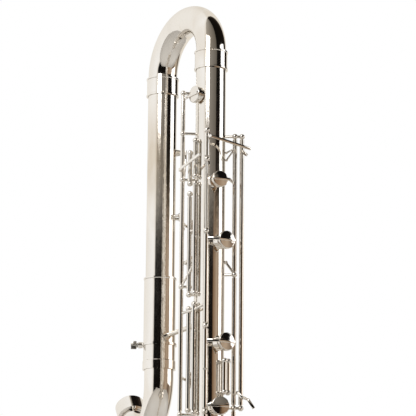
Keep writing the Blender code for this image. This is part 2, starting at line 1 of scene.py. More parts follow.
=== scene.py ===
"""Contrabass clarinet: fine meshes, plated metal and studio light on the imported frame.

Each node of the frame is replaced by a finer piece made from the same sizes. The small rods and
struts of the body's sides are one more piece. Lengths are in metres, up is +Z, and the origin is
the tip of the floor peg.
"""

import json
import math

import bmesh
import bpy
from mathutils import Matrix, Vector


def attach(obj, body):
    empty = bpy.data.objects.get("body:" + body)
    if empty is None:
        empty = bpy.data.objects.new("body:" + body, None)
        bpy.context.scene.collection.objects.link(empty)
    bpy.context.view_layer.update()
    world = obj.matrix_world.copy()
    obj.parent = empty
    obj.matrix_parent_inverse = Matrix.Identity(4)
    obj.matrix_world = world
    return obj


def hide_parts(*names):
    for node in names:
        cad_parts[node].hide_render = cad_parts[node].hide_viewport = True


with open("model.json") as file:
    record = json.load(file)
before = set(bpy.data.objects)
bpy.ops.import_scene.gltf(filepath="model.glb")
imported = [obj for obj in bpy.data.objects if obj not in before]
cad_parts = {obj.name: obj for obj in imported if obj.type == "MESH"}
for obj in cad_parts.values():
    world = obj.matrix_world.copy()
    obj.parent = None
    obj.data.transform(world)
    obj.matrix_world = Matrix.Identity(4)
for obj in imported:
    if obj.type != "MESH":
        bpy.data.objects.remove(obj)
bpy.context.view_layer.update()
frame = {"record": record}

# Tubes and their places
TUBE_R = 0.0158          # outside radius of the neck leg, the bows and the body
BORE_R = 0.0148          # radius of the bore
GAP = 0.0003             # gap between touching pieces
BELL_SPACING = 0.120     # from the body axis to the bell leg axis
NECK_SPACING = 0.116     # from the body axis to the neck leg axis
LOW_BOW_Z = 0.228        # height of the bottom bow's centre
HIGH_BOW_Z = 1.188       # height of the top bow's centre
HIGH_BOW_RISE = 0.047    # height of the top bow's flattened arch
BOW_SPIGOT = 0.012       # straight end of each bow, inside its ferrule
BODY_SPLIT_Z = 0.625     # joint between the upper and the lower body
BODY_Y = BELL_SPACING / 2
BELL_Y = -BELL_SPACING / 2
NECK_Y = BODY_Y + NECK_SPACING

# Ferrules and sleeves
FERRULE_WALL = 0.0011
FERRULE_LENGTH = 0.020
BEAD = 0.0006            # how far a bead stands out
BEAD_LENGTH = 0.0014     # along the ferrule
BEAD_FADE = 0.0006       # length of the slope below a bead
SLEEVE_TOP_Z = 0.962     # top of the tuning sleeve on the neck leg
SLEEVE_BOTTOM_Z = 0.862
SLEEVE_COLLAR = 0.009    # wider band at the bottom of the sleeve
SLEEVE_OVERLAP = 0.045   # how far the neck leg reaches into the sleeve
SLEEVE_BEAD_LENGTH = 0.0016
CLAMP_Z = 0.889
CLAMP_BAND = 0.0012      # the band's thickness, and half its height
CLAMP_WAY = (-0.889, 0.457, 0)   # from the neck leg's axis toward the screw
BOSS_R = 0.0034
# Places along the clamp's screw, from the band's inside
BOSS_ENDS = (0.0004, 0.0050)
CLAMP_SCREW_ENDS = (0.0010, 0.0130)
CLAMP_HEAD_ENDS = (0.0054, 0.0076)
WING_START = 0.0070
CLAMP_SCREW_R = 0.0011
CLAMP_HEAD_R = 0.0026
WING_WIDTH = 0.0088
WING_THICKNESS = 0.0014

# Brace between the neck leg and the body leg, with a lozenge plate at each end
BRACE_Z = 0.897
BRACE_R = 0.0026
BRACE_PLATE_R = 0.0062
BRACE_PLATE_THICKNESS = 0.0014
BRACE_PLATE_SIDES = 4
BRACE_CLEARANCE = 0.0002

# Neck
NECK_BEND_R = 0.050
NECK_BEND_Z = 0.852
NECK_TURN = math.radians(140)
NECK_SWING = math.radians(8)     # how far the neck's plane is turned toward +X
NECK_END_R = 0.0126
NECK_TUBE_WALL = 0.0010
NECK_STRAIGHT = 0.004            # straight lengths before and after the bend
NECK_STEPS = 40
RECEIVER_R = 0.0163
RECEIVER_LENGTH = 0.0195
RECEIVER_SOCKET_R = 0.0108
RECEIVER_SOCKET_DEPTH = 0.009
RECEIVER_EDGE = 0.001            # height of the softened rim
RECEIVER_RIM_ROUND = 0.0008      # outer softening of the rim
RECEIVER_MOUTH = 0.0012          # inner softening of the rim
RECEIVER_FOOT = (0.0016, 0.0014)     # softening of the other end, inward and along

# Bell
BELL_LEG_TOP_Z = 0.520
BELL_LEG_TOP_R = 0.0225
BELL_RIM_Z = 0.738
BELL_RIM_R = 0.086
BELL_WALL = 0.0012
BELL_BEAD_R = 0.0022
BELL_BEAD_TURNS = range(170, 0, -20)     # degrees round the rolled rim, from outside to top
BELL_LEG_FOOT_EXTRA = 0.0012     # how much wider the leg's foot is than the bow
BELL_LIP_GAP = 0.0012            # between the leg's top and its ferrule
BELL_TAPER = 0.20                # share of the flare that is a plain cone
BELL_CURVE = 4.2                 # power of the rest of the flare
BELL_STEPS = 40
BELL_SIDES = 96

# Hinges, posts and keys
HINGE_R = 0.0024
HINGE_BORE_R = 0.00175
ROD_R = 0.0012
POST_STEM_R = 0.0015
POST_BALL_R = 0.0030
HINGE_END = POST_BALL_R + 0.0005
SEAT = 0.0208            # chimney rim to body axis
CHIMNEY_WALL = 0.0010
CHIMNEY_ROUND = 0.0003   # softening of the rim's outer edge
EDGE_BREAK = 0.0002      # smallest softening of an edge
CUP_DEPTH = 0.0047
CUP_EDGE = 0.0017        # how far a cup reaches past its chimney
CUP_WALL = 0.0008
CUP_ROUND = 0.0012       # rounding of the cup's top edge, inward
CUP_ROUND_HEIGHT = 0.0009
CUP_CROWN_DROP = 0.0016  # from the crown down to the start of the rounding
CUP_CROWN = ((0.55, 0.0003), (0.25, 0))  # crown's places: share of the radius, and drop
PAD_THICKNESS = 0.0021
PAD_PROUD = 0.0006       # how far a pad stands out of its cup
PAD_ROUND = 0.0005
PAD_PLAY = 0.0004        # room round a pad, besides the usual gap
THROAT_SEAT = 0.0175     # the throat key's low chimney
CHIMNEY_FOOT = BORE_R * 0.55     # where a chimney starts, inside the tube
ARM_WIDTH = 0.0030
ARM_THICKNESS = 0.0018
ARM_ROOT = HINGE_BORE_R + 0.0002     # from a hinge's axis to where its arms start
ARM_SINK = 0.0006        # how deep an arm sits in the cup's crown
ARM_LAP = 0.0008         # how far the lengths of a cup's arm overlap
ARM_REACH = 0.9          # how far an arm crosses its cup, in cup radii past the centre
LEVER_LAP = 0.0007       # the same for a lever
OPEN_GAP = 0.0040        # how far an open cup stands off its chimney
TOUCH_R = 0.0085
TOUCH_THICKNESS = 0.0020
TOUCH_REACH = 0.0400     # from the leg's axis to a finger plate
TOUCH_ROUND = 0.0008

# Register key on the neck leg
REGISTER_ANGLE = 62      # from the front toward +X, in degrees
VENT_Z = 1.1025
VENT_LOW = 0.012         # from the leg's axis to the ends of the vent's cone
VENT_HIGH = 0.0205
VENT_FOOT_R = 0.0046
VENT_TIP_R = 0.0030
REGISTER_CUP_R = 0.0052
REGISTER_PIVOT_Z = 1.0300
REGISTER_PIVOT_OUT = 0.0215
REGISTER_POST_SPAN = 0.0095      # from the pivot's middle to each ball
REGISTER_POST_FOOT = (0.0135, 0.0060)    # outward from the leg's axis, and along the pivot
REGISTER_TUBE_SPAN = 0.0058
# Its lever: places as outward from the pivot and up, and the widths of its three lengths
REGISTER_LEVER_WAY = (0.0012, 0.004)
REGISTER_TAIL = (0.004, -0.014)
REGISTER_CROOK_DROP = 0.008      # the lever's bend, below the vent
REGISTER_LAP = 0.0006
REGISTER_CUP_LAP = 0.003         # how far the lever passes the cup's centre
REGISTER_WIDTHS = (0.0042, 0.0036, 0.0050)

# Floor peg
PEG_R = 0.0050
PEG_TOP_Z = 0.145
PEG_SOCKET_R = 0.0090
PEG_SOCKET_BOTTOM_Z = 0.105
PEG_TIP_R = 0.0085
PEG_TIP_HEIGHT = 0.024
PEG_TIP_FLOOR = 0.006    # rubber below the rod
PEG_TIP_SLOPE = 0.004
PEG_TIP_SOLE = 0.82      # share of the tip's radius that meets the floor
PEG_TIP_LIP = 0.0016     # rubber round the rod at the tip's top
SADDLE_R = 0.006
SADDLE_HALF = 0.016
SADDLE_RISE = 0.002      # above the bow's underside
PEG_SOCKET_RISE = 0.004
PEG_SCREW_PLAY = 0.0004  # between the screw and the rod
PEG_SCREW_RISE = 0.012   # above the socket's lower end
PEG_SCREW_R = 0.0018
PEG_SCREW_HEAD_R = 0.0062
PEG_SCREW_HEAD = (0.0125, 0.0200)    # the head's ends, from the peg's axis
PEG_SCREW_END = 0.0160

# Sides of the round shapes, finer than the frame's
TUBE_SIDES = 72
CUP_SIDES = 48
HINGE_SIDES = 24
ROD_SIDES = 16
BALL_RINGS = 16
PEG_SIDES = 16
PEG_ROD_SIDES = 12
BOW_STEPS = 48
CUP_ROUND_STEPS = 6
SHARP_ANGLE = math.radians(35)   # edges sharper than this stay crisp
ARM_BEVEL = 0.0004
MERGE_DISTANCE = 1e-6

# Rod lines: place from the body axis, x and y
RODS = {
    "front_left": (-0.0163, -0.0236),
    "front_right": (0.0215, -0.0145),
    "outer_right": (0.0283, -0.0172),
    "side_left": (-0.0270, 0.0110),
    "back_left": (-0.0215, 0.0040),
}
# Heights of the posts on each rod line, for the upper and the lower body
POSTS = {
    "upper_body": {
        "front_left": (1.093, 1.062, 0.986, 0.887, 0.799, 0.650),
        "front_right": (1.093, 0.945, 0.806, 0.700),
        "outer_right": (1.093, 0.806),
        "side_left": (1.140, 1.096, 1.046, 0.932, 0.799),
        "back_left": (1.030, 0.923),
    },
    "lower_body": {
        "front_left": (0.600, 0.480, 0.320),
        "front_right": (0.600, 0.500, 0.380),
    },
}
# Tone holes: height, angle from the front toward +X in degrees, cup radius, rod line, hinge ends,
# open at rest, and the touch's height and angle or None
TONE_KEYS = {
    "tone_key_1": (1.0415, -11, 0.0086, "front_right", 0.945, 1.093, True, None),
    "tone_key_2": (0.9780, 15, 0.0094, "front_left", 0.887, 0.986, True, None),
    "tone_key_3": (0.8717, 16, 0.0094, "front_left", 0.8425, 0.887, True, None),
    "tone_key_4": (0.8052, 0, 0.0094, "front_left", 0.799, 0.8415, True, None),
    "tone_key_5": (0.7380, -5, 0.0100, "front_right", 0.700, 0.806, True, (0.776, 38)),
    "tone_key_6": (0.6720, 8, 0.0105, "front_left", 0.650, 0.799, True, (0.752, -30)),
    "tone_key_7": (0.5800, -4, 0.0110, "front_right", 0.500, 0.600, True, (0.540, 38)),
    "tone_key_8": (0.5150, 8, 0.0115, "front_left", 0.480, 0.600, True, (0.565, -30)),
    "tone_key_9": (0.4380, -2, 0.0118, "front_right", 0.380, 0.500, True, (0.480, 38)),
    "tone_key_10": (0.3550, 8, 0.0122, "front_left", 0.320, 0.480, True, (0.420, -30)),
    "throat_key": (1.1362, -81, 0.0090, "side_left", 1.096, 1.140, False, None),
    "back_key": (1.0000, -168, 0.0086, "side_left", 0.932, 1.046, False, None),
    "thumb_key": (0.9600, -160, 0.0086, "back_left", 0.923, 1.030, False, None),
    "lower_back_key": (0.8380, -168, 0.0092, "side_left", 0.799, 0.932, False, None),
}
# The bell leg's rod, its posts' heights, its chimneys' rim, and its keys: height, angle, cup radius
# and hinge ends
LOW_ROD = (0.0290, -0.0120)
LOW_POSTS = (0.455, 0.375, 0.295)
LOW_SEAT = 0.0260
LOW_TOUCH = (0.022, 112, 0.046)  # above the cup, angle and reach
LOW_KEYS = {
    "low_d_key": (0.4150, 0, 0.0135, 0.375, 0.455),
    "low_c_key": (0.3350, 0, 0.0130, 0.295, 0.375),
}
# Rods beside the main ones: x and y from the body axis, low and high ends
EXTRA_RODS = (
    (-0.0195, -0.0040, 0.800, 0.912),
    (-0.0195, -0.0040, 0.924, 1.040),
    (-0.0195, -0.0040, 1.048, 1.086),
    (-0.0215, 0.0040, 0.803, 0.908),
    (-0.0215, 0.0040, 1.041, 1.074),
    (0.0070, -0.0215, 0.8208, 0.853),
    (0.0125, -0.0190, 0.8208, 0.853),
)
# Struts and springs: both ends from the body axis, and the radius
EXTRA_BARS = (
    ((0.0150, -0.0080, 1.076), (0.0215, -0.0145, 1.0805), 0.0009),
    ((0.0150, -0.0080, 1.068), (0.0215, -0.0145, 1.0805), 0.0009),
    ((0.0140, -0.0100, 0.958), (0.0215, -0.0145, 0.946), 0.0013),
    ((-0.0195, -0.0040, 0.990), (-0.0215, 0.0040, 0.990), 0.0012),
    ((-0.0195, -0.0040, 0.955), (-0.0270, 0.0110, 0.932), 0.0011),
    ((-0.0270, 0.0110, 1.060), (-0.0195, -0.0040, 1.068), 0.0012),
    ((-0.0195, -0.0040, 0.906), (-0.0163, -0.0236, 0.910), 0.0014),
    ((-0.0270, 0.0110, 0.904), (-0.0195, -0.0040, 0.906), 0.0014),
)
EXTRA_BALL = 1.5         # a strut's ball end, in radii of the strut
# Levers without a cup: rod line, hinge ends and arms. Each arm has its height on the hinge and the
# places that it passes, from the body axis.
LEVERS = {
    "crossing_lever": ("front_left", 1.062, 1.093, (
        (1.0860, (-0.0140, -0.0285, 1.0860), (0.0320, -0.0285, 1.0780)),
    )),
    "side_link": ("side_left", 1.046, 1.096, (
        (1.0550, (-0.0330, 0.0060, 1.0550), (-0.0250, -0.0240, 1.0660)),
    )),
    "index_lever": ("front_right", 0.806, 0.945, (
        (0.8200, (0.0180, -0.0290, 0.8200), (0.0210, -0.0330, 0.8150)),
    )),
    "trill_lever": ("outer_right", 0.806, 1.093, (
        (1.0780, (0.0300, -0.0245, 1.0720)),
        (0.8180, (0.0330, -0.0240, 0.8150), (0.0380, -0.0270, 0.8060)),
    )),
}

# Patterns of the materials
DRIFT_SCALE = 22.0       # colour patches about 45 mm across
DRIFT_STOPS = (0.3, 0.55, 0.75)
DRIFT_DETAIL = 3.0
GRAIN_DETAIL = 4.0
GRAIN_HEIGHT = 0.25      # height of the grain, in grain sizes

# Camera found from the top bow's outline and the rings in the photo
PHOTO_PX = 416
SENSOR_MM = 36
CAMERA_REACH = 50
CAMERA_FOCAL_PX = 2300
CAMERA_PLACE = (-1.0688, -2.0153, 0.4628)
CAMERA_TURN = math.radians(27.2)
CAMERA_PITCH = math.radians(13.345)
CAMERA_ROLL = math.radians(0.488)
# Studio colours by the degrees round from the camera's far side, toward its right. The tubes
# mirror the first set above a change of height, and the second below it.
STUDIO_HIGH = (
    (0, "#e9e4dc"), (40, "#f6f3ee"), (120, "#ffffff"), (136, "#f2eee8"), (142, "#aaa49b"),
    (180, "#8b857d"), (218, "#6d675f"), (224, "#100e0d"), (300, "#171310"), (318, "#3a3029"),
    (324, "#efe9df"), (360, "#e9e4dc"),
)
STUDIO_LOW = (
    (0, "#e9e4dc"), (40, "#f6f3ee"), (120, "#ffffff"), (134, "#f7f4ef"), (141, "#0d0c0b"),
    (204, "#15110e"), (211, "#8a6e55"), (240, "#b9a691"), (262, "#5b4636"), (292, "#c9bba8"),
    (316, "#4b3c30"), (324, "#efe9df"),
)
STUDIO_CHANGE = (0.217, 0.237)   # sine of the angle above level, from low to high
MIX_A, MIX_B, MIX_RESULT = 6, 7, 2       # the colour sockets of a mix node
WHITE = (1, 1, 1, 1)
# Square lights: name, place, side and power in watts, all turned to one point
LIGHT_AIM = (0, 0.03, 0.9)
LIGHTS = (
    ("key_light", (-1.6, -1.2, 2.2), 1.0, 14.0),
    ("fill_light", (1.8, -0.8, 1.4), 1.2, 8.0),
)
FLOOR_HALF = 3
FLOOR_COLOUR = "#f4f3f1"
FLOOR_ROUGHNESS = 0.9

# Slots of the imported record, and the body that each node moves with
SILVER = "silver_plate"
STEEL = "steel"
LEATHER = "pad_leather"
RUBBER = "rubber"
NODE_BODY = {node: body for body, nodes in frame["record"]["behaviour"]["bodies"].items()
             for node in nodes}


def linear(hex_colour):
    """Linear RGBA of an sRGB hex colour."""
    channels = [int(hex_colour[i:i + 2], 16) / 255 for i in (1, 3, 5)]
    return [c / 12.92 if c <= 0.04045 else ((c + 0.055) / 1.055) ** 2.4 for c in channels] + [1]


def add(tree, kind, inputs=(), stops=(), **settings):
    """New node with its settings, colour stops and inputs. Each input is linked or given a value."""
    node = tree.nodes.new(kind)
    for key, value in settings.items():
        setattr(node, key, value)
    for name, source in inputs:
        if isinstance(source, bpy.types.NodeSocket):
            tree.links.new(source, node.inputs[name])
        else:
            node.inputs[name].default_value = source
    if stops:
        elements = node.color_ramp.elements
        elements.remove(elements[1])
        elements[0].position = stops[0][0]
        elements[0].color = linear(stops[0][1])
        for spot, colour in stops[1:]:
            elements.new(spot).color = linear(colour)
    return node


def surface(name, colours, roughness, metallic, grain, bump, stretch=(1, 1, 1)):
    """Material whose colour drifts slowly and whose roughness and height vary at the grain's size.

    The grain is in metres, roughness is its lowest and highest value, and stretch scales the
    pattern along each axis.
    """
    mat = bpy.data.materials.new(name)
    mat.use_nodes = True
    tree = mat.node_tree
    shader = tree.nodes["Principled BSDF"]
    place = add(tree, "ShaderNodeTexCoord").outputs["Object"]
    scaled = add(tree, "ShaderNodeMapping", [("Vector", place), ("Scale", stretch)]).outputs[0]
    broad = add(tree, "ShaderNodeTexNoise", [("Vector", scaled), ("Scale", DRIFT_SCALE),
                                             ("Detail", DRIFT_DETAIL)])
    fine = add(tree, "ShaderNodeTexNoise", [("Vector", scaled), ("Scale", 1 / grain),
                                            ("Detail", GRAIN_DETAIL)])
    tint = add(tree, "ShaderNodeValToRGB", [("Fac", broad.outputs["Fac"])],
               list(zip(DRIFT_STOPS, colours)))
    tree.links.new(tint.outputs["Color"], shader.inputs["Base Color"])
    rough = add(tree, "ShaderNodeMapRange", [("Value", fine.outputs["Fac"]),
                                             ("To Min", roughness[0]), ("To Max", roughness[1])])
    tree.links.new(rough.outputs["Result"], shader.inputs["Roughness"])
    height = add(tree, "ShaderNodeBump", [("Height", fine.outputs["Fac"]), ("Strength", bump),
                                          ("Distance", grain * GRAIN_HEIGHT)])
    tree.links.new(height.outputs["Normal"], shader.inputs["Normal"])
    shader.inputs["Metallic"].default_value = metallic
    return mat


MATERIALS = {
    # Polished silver plate: mirror bright, a little warm, with faint waves from buffing
    SILVER: surface("polished_silver_plate", colours=("#e9e4dc", "#f2eee8", "#ddd2c2"),
                    roughness=(0.035, 0.11), metallic=1.0, grain=0.004, bump=0.035,
                    stretch=(1, 1, 0.35)),
    # Turned steel: greyer and duller, with fine rings
    STEEL: surface("turned_steel", colours=("#b4b1aa", "#c2bfb8", "#a6a29a"),
                   roughness=(0.18, 0.32), metallic=1.0, grain=0.0007, bump=0.10,
                   stretch=(1, 1, 6)),
    # Kid leather: soft tan with pores
    LEATHER: surface("tan_kid_leather", colours=("#c39b72", "#cfa980", "#b0875f"),
                     roughness=(0.55, 0.75), metallic=0.0, grain=0.0006, bump=0.35),
    # Moulded rubber: near black and matt
    RUBBER: surface("black_moulded_rubber", colours=("#1a1a1b", "#202021", "#161617"),
                    roughness=(0.60, 0.80), metallic=0.0, grain=0.0009, bump=0.25),
}


def turned_to(start, end):
    """Matrix that takes a shape centred on the Z axis to the middle of start and end."""
    start, end = Vector(start), Vector(end)
    turn = (end - start).to_track_quat("Z", "Y").to_matrix().to_4x4()
    return Matrix.Translation((start + end) / 2) @ turn


def cone(start, end, r0, r1=None, sides=HINGE_SIDES):
    """Solid round bar from start to end. It tapers from r0 to r1 where r1 is given."""
    bm = bmesh.new()
    length = (Vector(end) - Vector(start)).length
    bmesh.ops.create_cone(bm, cap_ends=True, segments=sides, radius1=r0,
                          radius2=r0 if r1 is None else r1, depth=length,
                          matrix=turned_to(start, end))
    return bm


def ball(centre, radius):
    """Sphere, as on the end of a post."""
    bm = bmesh.new()
    bmesh.ops.create_uvsphere(bm, u_segments=HINGE_SIDES, v_segments=BALL_RINGS, radius=radius,
                              matrix=Matrix.Translation(centre))
    return bm


def bar(start, end, width, thickness, up=(0, 0, 1)):
    """Flat bar with soft edges from start to end. Its width lies along up."""
    bm = bmesh.new()
    start, end = Vector(start), Vector(end)
    along = (end - start).normalized()
    across = along.cross(Vector(up)).normalized()
    high = across.cross(along)
    turn = Matrix((across, high, along)).transposed().to_4x4()
    bmesh.ops.create_cube(bm, size=1, matrix=Matrix.Translation((start + end) / 2) @ turn
                          @ Matrix.Diagonal((thickness, width, (end - start).length, 1)))
    bmesh.ops.bevel(bm, geom=bm.edges[:], offset=ARM_BEVEL, segments=2, profile=0.5,
                    affect="EDGES", material=-1)
    return bm


def lathe(profile, sides, place=None):
    """Closed body of revolution. The profile is (radius, height) from one end to the other."""
    bm = bmesh.new()
    verts = [bm.verts.new((r, 0, z)) for r, z in profile]
    pairs = list(zip(verts, verts[1:]))
    if profile[0][0] > 0 and profile[-1][0] > 0:
        pairs.append((verts[-1], verts[0]))
    edges = [bm.edges.new(pair) for pair in pairs]
    bmesh.ops.spin(bm, geom=verts + edges, cent=(0, 0, 0), axis=(0, 0, 1), angle=math.tau,
                   steps=sides, use_merge=True)
    bmesh.ops.remove_doubles(bm, verts=bm.verts, dist=MERGE_DISTANCE)
    bmesh.ops.recalc_face_normals(bm, faces=bm.faces)
    if place is not None:
        bmesh.ops.transform(bm, matrix=place, verts=bm.verts)
    return bm


def ring(bm, point, along, radius):
    """Edges of a circle round a point, square to along."""
    side = Vector((1, 0, 0))
    side = (side - along * side.dot(along)).normalized()
    turn = Matrix((side, along.cross(side), along)).transposed().to_4x4()
    verts = bmesh.ops.create_circle(bm, segments=TUBE_SIDES, radius=radius,
                                    matrix=Matrix.Translation(point) @ turn)["verts"]
    return [bm.edges.get(pair) for pair in zip(verts, verts[1:] + verts[:1])]


def swept(points, radii, wall=TUBE_R - BORE_R):
    """Open tube with a wall along the points, each with its own outside radius."""
    bm = bmesh.new()
    points = [Vector(p) for p in points]
    outer, inner = [], []
    for i, point in enumerate(points):
        along = (points[min(i + 1, len(points) - 1)] - points[max(i - 1, 0)]).normalized()
        outer.append(ring(bm, point, along, radii[i]))
        inner.append(ring(bm, point, along, radii[i] - wall))
    loops = outer + inner[::-1]
    for near, far in zip(loops, loops[1:] + loops[:1]):
        bmesh.ops.bridge_loops(bm, edges=near + far)
    bmesh.ops.recalc_face_normals(bm, faces=bm.faces)
    return bm


def joined(name, finish, parts, turn=None):
    """One smooth object with a slot's material from separate parts, then turned."""
    whole = bmesh.new()
    for part in parts:
        spare = bpy.data.meshes.new("spare")
        part.to_mesh(spare)
        part.free()
        whole.from_mesh(spare)
        bpy.data.meshes.remove(spare)
    if turn is not None:
        bmesh.ops.transform(whole, matrix=turn, verts=whole.verts)
    mesh = bpy.data.meshes.new(name)
    whole.to_mesh(mesh)
    whole.free()
    mesh.materials.append(MATERIALS[finish])
    mesh.shade_smooth()
    mesh.set_sharp_from_angle(angle=SHARP_ANGLE)
    obj = bpy.data.objects.new(name, mesh)
    bpy.context.scene.collection.objects.link(obj)
    return obj


def piece(node, finish, parts, turn=None):
    """The visible piece that stands for a node of the frame and moves with its body."""
    obj = joined("fine_" + node, finish, parts, turn)
    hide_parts(node)
    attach(obj, NODE_BODY[node])


def outward(angle):
    """Unit vector from a leg's axis at an angle from the front toward +X."""
    turn = math.radians(angle)
    return Vector((math.sin(turn), -math.cos(turn), 0))


def facing(base, direction):
    """Frame whose Z points along direction from base."""
    turn = direction.to_track_quat("Z", "Y").to_matrix().to_4x4()
    return Matrix.Translation(base) @ turn


def on_leg(axis_y, rod, z):
    """Point of a rod line at a height. The rod's place is counted from its leg's axis."""
    return Vector((rod[0], axis_y + rod[1], z))


def post(axis_y, rod, z, start=None):
    """Stem and ball that carry a rod. The stem starts in the leg's wall unless start is given."""
    centre = on_leg(axis_y, rod, z)
    axis = Vector((0, axis_y, z))
    base = start or axis + (centre - axis).normalized() * BORE_R
    return [cone(base, centre, POST_STEM_R, sides=ROD_SIDES), ball(centre, POST_BALL_R)]


def chimney(axis_y, z, angle, radius, seat):
    """Short tube that a pad meets, with a softened rim."""
    way = outward(angle)
    edge = seat - CHIMNEY_ROUND
    inner = radius - CHIMNEY_WALL
    profile = [(radius, CHIMNEY_FOOT), (radius, edge), (radius - CHIMNEY_ROUND, seat),
               (inner + EDGE_BREAK, seat), (inner, edge), (inner, CHIMNEY_FOOT)]
    return lathe(profile, CUP_SIDES, facing(Vector((0, axis_y, z)), way))


def body_seat(name):
    """Distance from the body axis to the rim of a key's chimney."""
    return THROAT_SEAT if name == "throat_key" else SEAT


def body(name, low, high):
    """Length of the body leg with its chimneys, posts and rods."""
    axis = (0, BODY_Y)
    parts = [swept([(*axis, low), (*axis, high)], [TUBE_R, TUBE_R])]
    for key, (z, angle, radius, *_rest) in TONE_KEYS.items():
        if low < z < high:
            parts.append(chimney(BODY_Y, z, angle, radius - CUP_EDGE, body_seat(key)))
    for line, heights in POSTS[name].items():
        rod = RODS[line]
        for z in heights:
            start = on_leg(BODY_Y, RODS["front_right"], z) if line == "outer_right" else None
            parts += post(BODY_Y, rod, z, start)
        parts.append(cone(on_leg(BODY_Y, rod, heights[-1]), on_leg(BODY_Y, rod, heights[0]),
                          ROD_R, sides=ROD_SIDES))
    piece(name, SILVER, parts)


def cup_shell(base, way, radius):
    """Pad cup with a low domed top and a rounded edge, open toward the chimney."""
    inner = radius - CUP_WALL
    shoulder = CUP_DEPTH - CUP_CROWN_DROP
    profile = [(0, PAD_THICKNESS), (inner, PAD_THICKNESS), (inner, 0), (radius - EDGE_BREAK, 0),
               (radius, EDGE_BREAK), (radius, shoulder)]
    for i in range(1, CUP_ROUND_STEPS + 1):
        turn = math.radians(90) * i / CUP_ROUND_STEPS
        profile.append((radius - CUP_ROUND * (1 - math.cos(turn)),
                        shoulder + CUP_ROUND_HEIGHT * math.sin(turn)))
    profile += [(radius * share, CUP_DEPTH - drop) for share, drop in CUP_CROWN]
    profile.append((0, CUP_DEPTH))
    return lathe(profile, CUP_SIDES, facing(base, way))


def pad_shape(base, way, radius):
    """Leather pad that fills its cup and stands a little proud of it."""
    edge = radius - CUP_WALL - GAP - PAD_PLAY
    back = PAD_THICKNESS - GAP
    profile = [(0, back), (edge, back), (edge, EDGE_BREAK - PAD_PROUD),
               (edge - PAD_ROUND, -PAD_PROUD), (0, -PAD_PROUD)]
    return lathe(profile, CUP_SIDES, facing(base, way))


def opening_turn(hinge, target, way, gap):
    """Signed angle about the rod that lifts target along way by gap."""
    lever = target - hinge
    rise = Vector((-lever.y, lever.x, 0)).dot(way)
    return gap / rise


def turn_about(hinge, angle):
    """Matrix that turns a key about its upright rod."""
    return Matrix.Translation(hinge) @ Matrix.Rotation(angle, 4, "Z") @ Matrix.Translation(-hinge)


def hinge_tube(hinge, low, high):
    """Upright tube of a key, between two heights."""
    return cone((hinge.x, hinge.y, low), (hinge.x, hinge.y, high), HINGE_R, sides=HINGE_SIDES)


def cup_key(name, axis_y, rod, low, high, z, angle, radius, seat, opened, touch=None):
    """Key with a cup, an arm over the cup and its pad, raised off its chimney when open at rest."""
    hinge = on_leg(axis_y, rod, 0)
    way = outward(angle)
    centre = Vector((0, axis_y, z))
    rim = centre + way * (seat + GAP + PAD_PROUD)
    top = rim + way * (CUP_DEPTH + ARM_THICKNESS / 2 - ARM_SINK)
    across = Vector((-way.y, way.x, 0))
    if (hinge - centre).dot(across) < 0:
        across = -across
    arm_z = min(max(z, low + ARM_WIDTH), high - ARM_WIDTH)
    elbow = top + across * (radius + CUP_ROUND)
    elbow.z = (arm_z + z) / 2
    root = Vector((hinge.x, hinge.y, arm_z))
    root += (elbow - root).normalized() * ARM_ROOT
    beyond = elbow + (elbow - root).normalized() * ARM_LAP
    over_cup = (elbow + across * ARM_LAP, top - across * (radius * ARM_REACH))
    parts = [hinge_tube(hinge, low, high),
             bar(root, beyond, ARM_WIDTH, ARM_THICKNESS),
             bar(*over_cup, ARM_WIDTH, ARM_THICKNESS),
             cup_shell(rim, way, radius)]
    if touch:
        parts += touch_parts(hinge, axis_y, *touch)
    turn = turn_about(hinge, opening_turn(hinge, rim, way, OPEN_GAP)) if opened else None
    piece(name, SILVER, parts, turn)
    piece(name.replace("_key", "_pad"), LEATHER, [pad_shape(rim, way, radius)], turn)


def touch_parts(hinge, axis_y, z, angle, reach=TOUCH_REACH):
    """Arm from the hinge to a round finger plate."""
    way = outward(angle)
    plate = Vector((0, axis_y, z)) + way * reach
    root = Vector((hinge.x, hinge.y, z))
    along = (plate - root).normalized()
    half = way * TOUCH_THICKNESS / 2
    return [bar(root + along * ARM_ROOT, plate, ARM_WIDTH, ARM_THICKNESS),
            cone(plate - half, plate + half, TOUCH_R, TOUCH_R - TOUCH_ROUND, sides=CUP_SIDES)]


def lever(name, line, low, high, arms):
    """Key without a cup: a hinge tube with arms, each a height and places from the body axis."""
    hinge = on_leg(BODY_Y, RODS[line], 0)
    parts = [hinge_tube(hinge, low, high)]
    for root_z, *places in arms:
        root = Vector((hinge.x, hinge.y, root_z))
        points = [Vector((x, BODY_Y + y, z)) for x, y, z in places]
        points.insert(0, root + (points[0] - root).normalized() * ARM_ROOT)
        for start, end in zip(points, points[1:]):
            ahead = (end - start).normalized() * LEVER_LAP
            parts.append(bar(start, end + ahead, ARM_WIDTH, ARM_THICKNESS))
    piece(name, SILVER, parts)


def ferrule(name, axis_y, middle, inner_r):
    """Sleeve over a joint, with a bead at each end."""
    half = FERRULE_LENGTH / 2
    outer = inner_r + FERRULE_WALL
    bead = outer + BEAD
    slope = BEAD_LENGTH + BEAD_FADE
    profile = [(inner_r, -half), (bead, -half), (bead, BEAD_LENGTH - half), (outer, slope - half),
               (outer, half - slope), (bead, half - BEAD_LENGTH), (bead, half), (inner_r, half)]
    piece(name, SILVER, [lathe(profile, TUBE_SIDES, Matrix.Translation((0, axis_y, middle)))])


